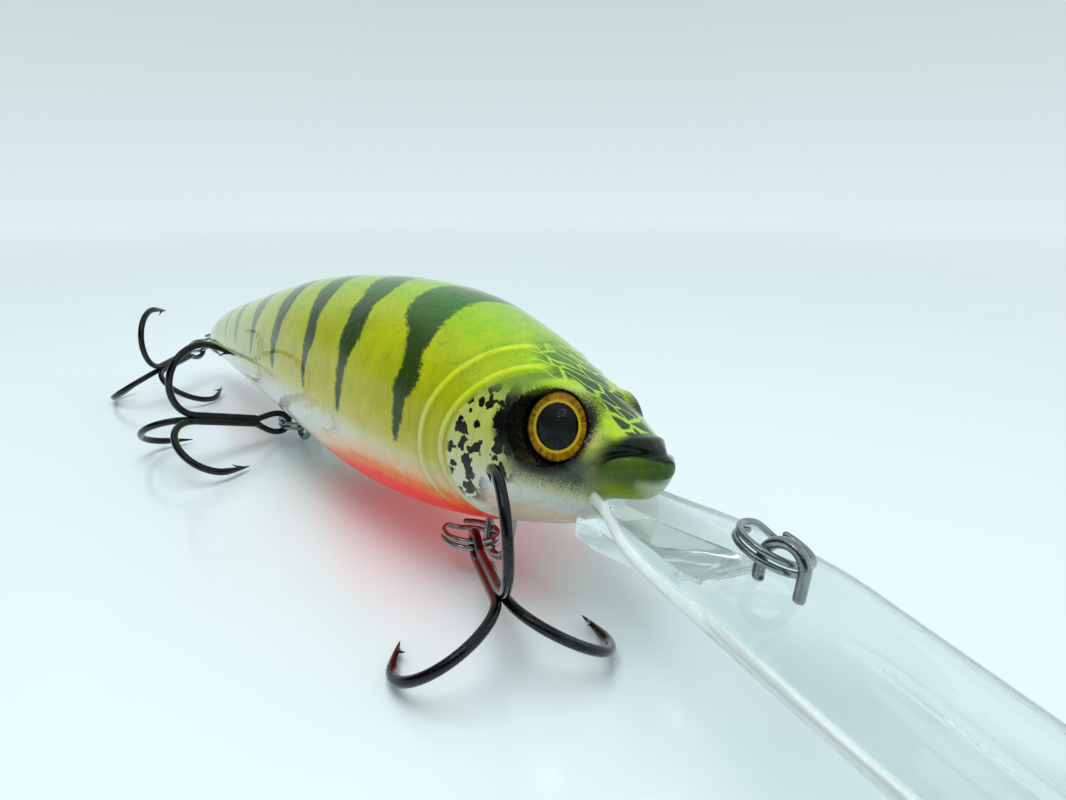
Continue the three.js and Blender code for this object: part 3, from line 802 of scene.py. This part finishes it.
def face_over(shader, paint, x, h, fine):
    """Shade round the eye, grey band below it, white chin, green jaw, dark upper lip and painted
    shade along the mouth's crease.
    """
    eye = shader.attribute("eye")
    jaw = x.step(24.2, 26.4) * h.step(22.6, 21.6)
    green = shader.mix(h.step(16.4, 18.6), colour(150, 166, 30), colour(60, 88, 12))
    green = shader.mix(x.step(28.6, 29.8) * h.step(19.0, 17.8), green, colour(196, 206, 160))
    paint = shader.mix(jaw * 0.96, paint, green)
    chin = x.step(12.5, 15.5) * h.step(15.6, 14.2)
    chin = chin * x.step(26.0, 24.6)
    paint = shader.mix(chin, paint, colour(218, 220, 208))
    throat = h.step(13.6, 12.2) * x.step(12.0, 14.5)
    paint = shader.mix(throat * 0.55, paint, colour(238, 188, 148))
    band = x.step(15.6, 18.6) * x.step(27.6, 24.0)
    low = h - 15.6 + (fine - 0.5) * 3.2
    band = band * (low.step(-0.9, 1.6) * h.step(21.0, 18.6))
    paint = shader.mix(band * 0.92, paint, colour(44, 60, 60))
    brow = shader.attribute("brow").step(0.95, 0.25) * x.step(15.5, 18.5)
    paint = shader.mix(brow * 0.9, paint, colour(176, 206, 40))
    shade = eye + (fine - 0.5) * 1.4
    shade = shade.step(1.7, 0.7)
    paint = shader.mix(shade, paint, colour(6, 8, 7))
    lip = shader.attribute("upper_lip").step(1.0, 0.55) * x.step(25.6, 27.2)
    paint = shader.mix(lip, paint, colour(16, 28, 14))
    # Near-black along the mouth's moulded crease: painted shade in the crease.
    gap = shader.attribute("mouth").step(0.7, 0.3) * x.step(25.2, 26.6)
    return shader.mix(gap, paint, colour(8, 12, 5))


def shell_relief(shader, lure, fine):
    """Faint moulded streaks under the clear coat."""
    streaks = shader.noise(shader.warped(shader.scaled(lure, (0.7, 0.7, 0.16)), 0.5, 1.2), 1.1, 3.0)
    return streaks.step(0.5, 0.66) + fine * 0.18


# ---------- other materials ----------

EVEN = (1.0, 1.0, 1.0)               # no stretch

def lip_material():
    shader = Shader("clear_lip", IOR=1.16, Coat_Weight=0.5,
                    Coat_Roughness=0.02, Coat_IOR=1.5)
    place = shader.place_mm()
    haze = shader.noise(place, 0.22, 3.0, 0.6)
    shader.set("Base Color", shader.mix(haze, colour(240, 246, 245), colour(228, 237, 235)))
    edge = shader.attribute("rim")
    polish = shader.noise(place, 0.8, 4.0, 0.7).step(0.45, 0.75, 0.008, 0.05)
    shader.set("Roughness", polish + edge.step(0.9, 0.98, 0.0, 0.3))
    shader.set("Transmission Weight", edge.step(0.91, 0.985, 1.0, 0.35))
    ripples = shader.noise(shader.scaled(place, (0.05, 0.16, 0.16)), 1.0, 2.0)
    shader.bump(ripples, 0.12)
    return shader.material


def cloudy(name, cloud, tints, gloss, grain, **sockets):
    """A plain material. Cloud is the noise that its two tints follow, with the step between them.

    Gloss is a noise and the step that gives the roughness. Grain is a noise, the stretch of the
    place that it reads and the height of its bumps in millimetres.
    """
    shader = Shader(name, **sockets)
    place = shader.place_mm()
    share = shader.noise(place, *cloud[0])
    if cloud[1]:
        share = share.step(*cloud[1])
    shader.set("Base Color", shader.mix(share, *tints))
    shader.set("Roughness", shader.noise(place, *gloss[0]).step(*gloss[1]))
    shader.bump(shader.noise(shader.scaled(place, grain[1]), *grain[0]), grain[2])
    return shader.material


def steel_material(name, base, roughness):
    shader = Shader(name, Metallic=1.0)
    place = shader.place_mm()
    cloud = shader.noise(place, 0.7, 4.0, 0.6)
    dark = tuple(0.62 * v for v in base[:3]) + (1.0,)
    shader.set("Base Color", shader.mix(cloud.step(0.35, 0.75), base, dark))
    scratches = shader.noise(shader.scaled(place, (0.8, 0.8, 6.0)), 2.0, 3.0, 0.7)
    shader.set("Roughness", scratches.step(0.3, 0.8, roughness, roughness + 0.16))
    shader.bump(scratches, 0.012)
    return shader.material


def hook_material():
    return cloudy("black_nickel", ((0.6, 4.0, 0.65), (0.35, 0.7)),
                  (colour(6, 7, 9), colour(20, 23, 26)),
                  ((5.0, 3.0, 0.6), (0.3, 0.75, 0.14, 0.34)), ((7.0, 2.0, 0.5), EVEN, 0.01),
                  Metallic=0.6, Coat_Weight=0.6, Coat_Roughness=0.04, Coat_IOR=1.4)


def iris_material():
    """Gold iris round a black pupil, with fine radial fibres. Its marks are eye_x and eye_y."""
    shader = Shader("eye_iris", Roughness=0.4, Metallic=0.15, Specular_IOR_Level=0.05)
    across, up = shader.attribute("eye_x"), shader.attribute("eye_y")
    squared = across * across + up * up
    radius = shader.math("SQRT", squared)
    angle = shader.math("ARCTAN2", up, across)
    polar = shader.value("CombineXYZ", {0: angle * 5.0, 1: radius * 0.35})
    fibres = shader.noise(polar, 1.6, 4.0, 0.7)
    gold = shader.mix(fibres.step(0.3, 0.7), colour(120, 74, 2), colour(226, 164, 12))
    gold = shader.mix(radius.step(PUPIL_R + 0.42, PUPIL_R + 0.15), gold, colour(250, 206, 30))
    gold = shader.mix(radius.step(IRIS_R - 0.35, IRIS_R), gold, colour(10, 6, 2))
    shader.set("Base Color",
               shader.mix(radius.step(PUPIL_R + 0.05, PUPIL_R - 0.05), gold, colour(2, 3, 4)))
    shader.bump(fibres, 0.05)
    return shader.material


def dome_material():
    return cloudy("eye_dome", ((0.6,), None), (colour(255, 255, 255), colour(246, 250, 248)),
                  ((1.2, 3.0), (0.4, 0.8, 0.004, 0.03)), ((0.5, 1.0), EVEN, 0.01),
                  IOR=1.22, Transmission_Weight=1.0)


def lead_material():
    return cloudy("cast_lead", ((0.9, 5.0, 0.7), None), (colour(84, 88, 94), colour(140, 142, 148)),
                  ((0.9, 5.0, 0.7), (0.2, 0.8, 0.38, 0.68)), ((2.6, 4.0, 0.7), EVEN, 0.08),
                  Metallic=0.8)


def tube_material():
    return cloudy("tube_plastic", ((0.3, 3.0), None), (colour(232, 238, 236), colour(214, 224, 222)),
                  ((1.5, 4.0, 0.7), (0.3, 0.8, 0.12, 0.32)), ((1.2, 3.0), (0.1, 1.0, 1.0), 0.04),
                  IOR=1.5, Transmission_Weight=0.7)


def rubber_material():
    return cloudy("buffer_rubber", ((3.0, 4.0, 0.7), None), (colour(24, 25, 26), colour(46, 47, 48)),
                  ((3.0, 4.0, 0.7), (0.3, 0.8, 0.6, 0.9)), ((3.0, 4.0, 0.7), EVEN, 0.06),
                  Specular_IOR_Level=0.3)


# ---------- body, eyes and lip ----------

def make_shells(material):
    for name, side in (("left", 1), ("right", -1)):
        points, faces, marks = body_half(side)
        piece(f"shell_{name}", to_row(points), faces, material, "lure_body",
              [f"body_shell_{name}"], marks, sharp=60)


def in_eye_frame(points, side):
    facing, across, up = eye_axes()
    basis = np.stack([across, up, facing])
    placed = points @ basis + EYE_CENTRE
    placed[:, 1] *= side
    return to_row(placed)


def iris_profile():
    """A disc with a rounded edge and a shallow dish, so that it isn't dead flat."""
    low, high = -EYE_DISC - GAP, -GAP
    dish = [(r, high - 0.14 * (1 - (r / EYE_R) ** 2)) for r in np.linspace(0, EYE_R - 0.15, 16)]
    edge = [(EYE_R - 0.05, high - 0.05), (EYE_R, high - 0.15), (EYE_R, low + 0.1),
            (EYE_R - 0.1, low)]
    return dish + edge + [(0, low)]


def dome_profile():
    """A clear lens: flat below, round above, with a softened rim."""
    cap = [((EYE_R - 0.05) * r, SOCKET_RIM + (EYE_DOME - SOCKET_RIM) * (1 - r * r))
           for r in np.linspace(1, 0, 26)[:-1]]
    base = [(0, 0.0), (EYE_R * 0.5, 0.0), (EYE_R - 0.15, 0.0), (EYE_R - 0.05, 0.04)]
    return base + cap + [(0, EYE_DOME)]


def make_eyes(iris, dome):
    for name, side in (("left", 1), ("right", -1)):
        points, faces = lathe(iris_profile())
        marks = {"eye_x": points[:, 0], "eye_y": points[:, 1]}
        piece(f"iris_{name}", in_eye_frame(points, side), faces, iris, "lure_body",
              [f"{name}_eye_iris"], marks, sharp=40)
        points, faces = lathe(dome_profile())
        piece(f"dome_{name}", in_eye_frame(points, side), faces, dome, "lure_body",
              [f"{name}_eye_dome"], sharp=50)


def lip_grid():
    """Rows along the lip, its half widths, and how near each point is to the outline."""
    straight = np.linspace(LIP_STATIONS[0, 0], LIP_ROUND_FROM, LIP_ROWS)
    turn = np.linspace(0, 1, LIP_TURN_ROWS)[1:] * np.pi / 2
    reach = LIP_END - LIP_ROUND_FROM
    x = np.concatenate([straight, LIP_ROUND_FROM + reach * np.sin(turn * 0.985)])
    half = along(LIP_STATIONS, x, 2)
    ahead = np.clip((x - LIP_ROUND_FROM) / reach, 0, 1)
    half = half * np.sqrt(1 - ahead ** 2)
    even = np.linspace(-1, 1, LIP_COLUMNS)
    across = 0.35 * np.sin(even * np.pi / 2) + 0.65 * even
    nearness = np.sqrt(ahead[:, None] ** 2 + across[None, :] ** 2 * (1 - ahead[:, None] ** 2))
    return x, half, across, nearness


def make_lip(material):
    x, half, across, nearness = lip_grid()
    y = half[:, None] * across[None, :]
    top = along(LIP_STATIONS, x, 1)[:, None] + np.zeros_like(y)
    round_edge = np.sqrt(np.clip(1 - nearness ** 14, 0, 1))
    dish = LIP_DISH * (np.abs(y) / LIP_DISH_HALF) ** 2 * smoothstep(30, 45, x)[:, None]
    crest = smoothstep(49, 55, x) * smoothstep(88, 84, x)
    ridge = LIP_RIDGE * crest[:, None] * np.sqrt(np.clip(1 - (y / LIP_RIDGE_HALF) ** 2, 0, 1))
    middle = top - LIP_THICK / 2 - LIP_DISH + dish
    upper = middle + LIP_THICK / 2 * round_edge + ridge
    root_low = along(ROOT_STATIONS, x, 1)
    root_half = along(ROOT_STATIONS, x, 2)
    drop = np.maximum(middle[:, LIP_COLUMNS // 2] - LIP_THICK / 2 - root_low, 0) * smoothstep(42,
                                                                                              38,
                                                                                              x)
    swell = smoothstep(1.06, 0.86, np.abs(y) / root_half[:, None])
    lower = middle - LIP_THICK / 2 * round_edge - drop[:, None] * swell
    xs = np.repeat(x[:, None], len(across), axis=1)
    face = np.stack([xs, y, upper], axis=2)
    under = np.stack([xs, y, lower], axis=2)[:, ::-1]
    rings = np.concatenate([face, under[:, 1:-1]], axis=1)
    points, faces = closed_loft(rings)
    rim = np.concatenate([nearness, nearness[:, ::-1][:, 1:-1]], axis=1).ravel()
    marks = {"rim": np.concatenate([rim, rim[:1], rim[-1:]])}
    piece("lip", to_row(points), faces, material, "lure_body", ["diving_lip"], marks,
          sharp=50)


# ---------- wire loops and split rings ----------

def loop_path(span, leg, kind):
    """A U of wire in the XZ plane, round end on the origin. Kind turns it to its place."""
    angles = np.linspace(np.pi, 2 * np.pi, 40)
    arc = np.stack([np.cos(angles) * span / 2, 0 * angles, np.sin(angles) * span / 2], axis=1)
    rise = np.linspace(leg, 0.2, 12)
    left = np.stack([np.full(12, -span / 2), 0 * rise, rise], axis=1)
    right = left[::-1] * np.array([-1, 1, 1])
    path = np.vstack([left, arc, right])
    if kind == "tie":
        return path * np.array([-1, 1, -1])
    if kind == "tail":
        return np.stack([path[:, 2], path[:, 1], -path[:, 0]], axis=1)
    return path


def make_loops(material):
    places = {"line_tie": (TIE_CENTRE, TIE_SPAN, TIE_LEG, "tie", "line_tie_loop")}
    for place, centre in HANGERS.items():
        kind = "tail" if place == "tail" else "hanger"
        places[place] = (centre, HANGER_SPAN, HANGER_LEG, kind, f"{place}_hanger")
    for place, (centre, span, leg, kind, node) in places.items():
        path, radii = round_ends(loop_path(span, leg, kind) + centre, WIRE_R)
        points, faces = tube(path, radii, 20)
        piece(f"{place}_wire", to_row(points), faces, material, "lure_body", [node])


def ring_path():
    """Two turns of wire joined by a short, smooth step."""
    end, step = 0.42, 0.5
    angles = np.linspace(end, 4 * np.pi - end, 300)
    rise = np.sin(np.clip((angles - 2 * np.pi) / step, -1, 1) * np.pi / 2)
    return np.stack([RING_R * np.cos(angles), RING_R * np.sin(angles), rise * RING_PITCH / 2],
                    axis=1)


def make_ring(name, middle, reach, normal, material, body):
    """A split ring in metres. Its ends lie on the side that the reach points to."""
    out = unit(reach)
    up = unit(normal - (normal @ out) * out)
    basis = np.stack([out, np.cross(up, out), up])
    path, radii = round_ends(ring_path(), RING_WIRE_R, 4)
    points, faces = tube(path, radii, 14)
    piece(f"{name}_coil", (points @ basis + middle) * MM, faces, material, body,
          [name])


def ring_middle(start, end):
    """Middle of a nearly level ring through two points, behind the line between them."""
    chord = end - start
    behind = unit(np.cross(np.array([0.0, 0, 1]), chord))
    if behind[0] > 0:
        behind = -behind
    return start + chord / 2 + behind * math.sqrt(RING_R ** 2 - chord @ chord / 4)


# ---------- treble hooks ----------

def hook_arm_path():
    """Shank, bend and point of one hook wire in the XZ plane, with its radii."""
    long_axis, wide_axis = HOOK_BEND
    shank = [(x, HOOK_ARM_OFFSET) for x in np.linspace(6.4, HOOK_SHANK, 24)]
    bend = [(HOOK_SHANK + long_axis * math.cos(a), HOOK_ARM_OFFSET + wide_axis * (1 + math.sin(a)))
            for a in np.linspace(-np.pi / 2, np.pi / 2, 60)[1:]]
    crest = HOOK_ARM_OFFSET + 2 * wide_axis
    leg = [(HOOK_SHANK - 0.8, crest - 0.08), (HOOK_SHANK - 1.6, crest - 0.25),
           (HOOK_SHANK - 2.7, crest - 0.52), (HOOK_SHANK - 4.0, crest - 0.9),
           (HOOK_SHANK - 5.3, crest - 1.32)]
    leg = smooth_line(leg, 40)
    flat = np.vstack([shank, bend, leg])
    path = upright(flat)
    length = lengths(path)
    left = length[-1] - length
    radii = HOOK_WIRE_R * np.clip(left / HOOK_TAPER, 0.02, 1) ** 0.72
    root = np.clip(length / 1.2, 0, 1)
    return path, radii * (0.35 + 0.65 * root)


def hook_barb():
    """A thin spur lifted off the inside of the point, leaning back to the bend."""
    crest = HOOK_ARM_OFFSET + 2 * HOOK_BEND[1]
    start = np.array([HOOK_SHANK - 3.9, 0, crest - 0.98])
    middle = np.array([HOOK_SHANK - 3.0, 0, crest - 1.18])
    end = np.array([HOOK_SHANK - 2.15, 0, crest - 1.72])
    path = smooth_line([start, middle, end], 14)
    return tube(path, 0.20 * (1 - np.linspace(0, 0.96, 14) ** 2), 10)


def hook_eye_path():
    """Tear-drop eye whose two wires run into the shank."""
    side = [(8.6, 0.30), (7.2, 0.50), (5.9, 0.98), (4.4, 1.52), (3.0, 1.72), (1.7, 1.45), (0.9, 0.8),
            (0.68, 0.0)]
    low = [(x, -z) for x, z in side[::-1][1:]]
    return upright(smooth_line(side + low, 110))


def hook_core():
    """Braze between the three wires, from the eye to the bend."""
    path = np.stack([np.linspace(6.6, HOOK_SHANK + 0.6, 20), np.zeros(20), np.zeros(20)], axis=1)
    ends = np.clip(np.minimum(path[:, 0] - 6.2, HOOK_SHANK + 1.0 - path[:, 0]) / 1.2, 0.2, 1)
    return tube(path, CORE_R * ends, 16)


def about_shank(points, degrees):
    a = math.radians(degrees)
    turned = points.copy()
    turned[:, 1] = math.cos(a) * points[:, 1] - math.sin(a) * points[:, 2]
    turned[:, 2] = math.sin(a) * points[:, 1] + math.cos(a) * points[:, 2]
    return turned


def treble_hook():
    eye, radii = round_ends(hook_eye_path(), WIRE_R)
    parts = [tube(eye, radii, 18), hook_core()]
    for turn in (0, 120, 240):
        for points, faces in (tube(*hook_arm_path(), 18), hook_barb()):
            parts.append((about_shank(points, turn), faces))
    return joined(parts)


def make_hook_sets(ring_look, hook_look):
    for place, centre in HANGERS.items():
        start = leaned(centre) + ORIGIN
        grip = joint_place(f"{place}_hook_swing")
        middle = ring_middle(start, grip)
        normal = np.cross(grip - start, start - middle)
        normal *= math.copysign(1, normal[2])
        reach = 2 * middle - start - grip
        make_ring(f"{place}_split_ring", middle, reach, normal, ring_look, f"{place}_ring")
        yaw, rise = (math.radians(v) for v in HOOK_TURNS[place])
        turn = np.array(Matrix.Rotation(yaw, 3, "Z") @ Matrix.Rotation(-rise, 3, "Y"))
        points, faces = treble_hook()
        placed = ((points - np.array([HOOK_GRIP, 0, 0])) @ turn.T + grip) * MM
        piece(f"{place}_hook_wires", placed, faces, hook_look, f"{place}_hook",
              [f"{place}_treble_hook"])


def make_line_ring(material):
    middle = leaned(TIE_CENTRE + unit(TIE_REACH) * RING_R) + ORIGIN
    reach = leaned(TIE_REACH)
    make_ring("line_tie_ring", middle, reach, leaned(TIE_RING_NORMAL), material, "line_ring")


# ---------- inside the body ----------

def dress_inner_nodes(looks):
    """Better finishes on the CAD nodes whose shapes stay."""
    for node, look in looks.items():
        obj = frame["nodes"][node]
        obj.data.materials.clear()
        obj.data.materials.append(look)


# ---------- stage, light and camera ----------

def make_floor():
    low = cad_box[0][2]
    bpy.ops.mesh.primitive_circle_add(vertices=96, radius=TABLE_R, fill_type="NGON",
                                      location=(0, 0, low - TABLE_DROP))
    floor = bpy.context.object
    floor.name = "table"
    shader = Shader("table", Coat_Weight=0.6, Coat_Roughness=0.14, IOR=1.45)
    place = shader.place()
    cloud = shader.noise(place, 3.0, 2.0)
    shader.set("Base Color", shader.mix(cloud, colour(226, 237, 242), colour(230, 240, 244)))
    shader.set("Roughness", shader.noise(place, 9.0, 3.0).step(0.3, 0.7, 0.2, 0.28))
    distance = shader.value("VectorMath", {0: place}, "Value", operation="LENGTH")
    shader.set("Alpha", distance.step(*TABLE_FADE, 1.0, 0.0))
    floor.data.materials.append(shader.material)


def make_sky():
    world = bpy.data.worlds.new("tent")
    world.use_nodes = True
    bpy.context.scene.world = world
    tree = world.node_tree
    background = tree.nodes["Background"]
    place = tree.nodes.new("ShaderNodeTexCoord")
    split = tree.nodes.new("ShaderNodeSeparateXYZ")
    ramp = tree.nodes.new("ShaderNodeValToRGB")
    tree.links.new(place.outputs["Generated"], split.inputs[0])
    span = tree.nodes.new("ShaderNodeMapRange")
    span.inputs["From Min"].default_value = -1
    tree.links.new(split.outputs["Z"], span.inputs["Value"])
    tree.links.new(span.outputs["Result"], ramp.inputs["Fac"])
    tree.links.new(ramp.outputs["Color"], background.inputs["Color"])
    stops = ramp.color_ramp.elements
    stops[0].position, stops[0].color = 0.47, colour(224, 238, 243)
    stops[1].position, stops[1].color = 0.62, colour(198, 212, 212)
    background.inputs["Strength"].default_value = 1.0


def make_light(name, place, aim, size, power, tint):
    data = bpy.data.lights.new(name, "AREA")
    data.shape = "RECTANGLE"
    data.size, data.size_y = size
    data.energy = power
    data.color = tint
    light = linked(name, data)
    light.location = place
    light.rotation_euler = (Vector(aim) - Vector(place)).to_track_quat("-Z", "Y").to_euler()
    light.visible_glossy = False


def only_in_gloss(obj):
    """Seen in reflections alone, as a studio's flags and lamps are."""
    obj.visible_camera = False
    obj.visible_diffuse = False
    obj.visible_transmission = False
    obj.visible_shadow = False


def stage_mesh(name, points, faces, material):
    data = bpy.data.meshes.new(name)
    data.from_pydata(points.tolist(), [], faces)
    data.materials.append(material)
    only_in_gloss(linked(name, data))


def make_flag():
    """Curved dark flag on the lure's right, which deepens the reflections there."""
    angles = np.radians(np.linspace(-180, 0, 44))
    heights = np.linspace(0.0, FLAG_HEIGHT, 13)
    points = [[FLAG_R * math.cos(a), FLAG_R * math.sin(a), h] for h in heights for a in angles]
    shader = Shader("flag", Roughness=0.9, Specular_IOR_Level=0.1)
    place = shader.place()
    shader.set("Base Color", shader.mix(shader.noise(place, 6.0), colour(16, 18, 20),
                                        colour(26, 28, 30)))
    _, across, height = shader.parts(place)
    upright = height.step(0.02, 0.14) * height.step(0.3, 0.82, 1.0, 0.0)
    shader.set("Alpha", upright * across.step(-0.02, -0.22))
    stage_mesh("flag", np.array(points), grid_faces(len(heights), len(angles)), shader.material)


def make_ring_lamp():
    """Small ring lamp above the camera, for the round highlight on the near eye."""
    ring = np.linspace(0, 2 * np.pi, 73)
    path = np.stack([LAMP_R * np.cos(ring), LAMP_R * np.sin(ring), 0 * ring], axis=1)
    points, faces = tube(path, LAMP_WIRE_R, 10)
    eye = to_row(EYE_CENTRE * np.array([1, -1, 1]))
    view = unit(np.array(CAMERA_PLACE) - eye)
    facing = leaned(unit(EYE_FACING) * np.array([1, -1, 1]))
    right = unit(np.cross(np.array([0.0, 0, 1]), view))
    slope = unit(facing + LAMP_SLOPE[0] * right + LAMP_SLOPE[1] * np.cross(view, right))
    ray = 2 * (slope @ view) * slope - view
    turn = np.array(Vector(-ray).to_track_quat("-Z", "Y").to_matrix())
    shader = Shader("ring_lamp", Emission_Strength=6.0)
    place = shader.place()
    shader.set("Emission Color", shader.mix(shader.noise(place, 20.0), (1, 1, 1, 1),
                                            (0.92, 0.96, 1, 1)))
    stage_mesh("ring_lamp", points @ turn.T + eye + LAMP_DISTANCE * ray, faces, shader.material)


def make_camera():
    data = bpy.data.cameras.new("camera")
    data.lens = CAMERA_LENS
    data.sensor_width = 36
    data.clip_start = 0.001
    camera = linked("camera", data)
    camera.location = CAMERA_PLACE
    camera.rotation_euler = Vector(CAMERA_LOOK).to_track_quat("-Z", "Y").to_euler()
    bpy.context.scene.camera = camera


def build():
    chrome = steel_material("ring_steel", colour(172, 178, 178), 0.07)
    wire = steel_material("wire_steel", colour(166, 172, 170), 0.10)
    balls = steel_material("ball_steel", colour(200, 202, 206), 0.12)
    plating = steel_material("magnet_plating", colour(182, 186, 192), 0.24)
    tubes = tube_material()
    make_shells(painted_body())
    make_eyes(iris_material(), dome_material())
    make_lip(lip_material())
    make_loops(wire)
    make_line_ring(chrome)
    make_hook_sets(chrome, hook_material())
    inner = {"transfer_tube": tubes, "rattle_tube": tubes, "belly_ballast": lead_material(),
             "transfer_rear_buffer": rubber_material(), "transfer_front_magnet": plating}
    inner.update({f"transfer_ball_{i}": balls for i in (1, 2, 3)})
    inner.update({f"rattle_ball_{i}": balls for i in (1, 2)})
    dress_inner_nodes(inner)
    make_floor()
    make_sky()
    make_light("tent_top", (-0.05, -0.05, 0.50), (-0.02, 0, 0), (0.5, 0.3), 1.6, (1, 1, 1))
    make_light("tent_left", (0.25, 0.45, 0.30), (0, 0, 0.01), (0.5, 0.3), 0.5, (0.96, 0.98, 1))
    make_flag()
    make_ring_lamp()
    make_camera()
    bpy.context.scene.view_settings.view_transform = "Standard"


build()
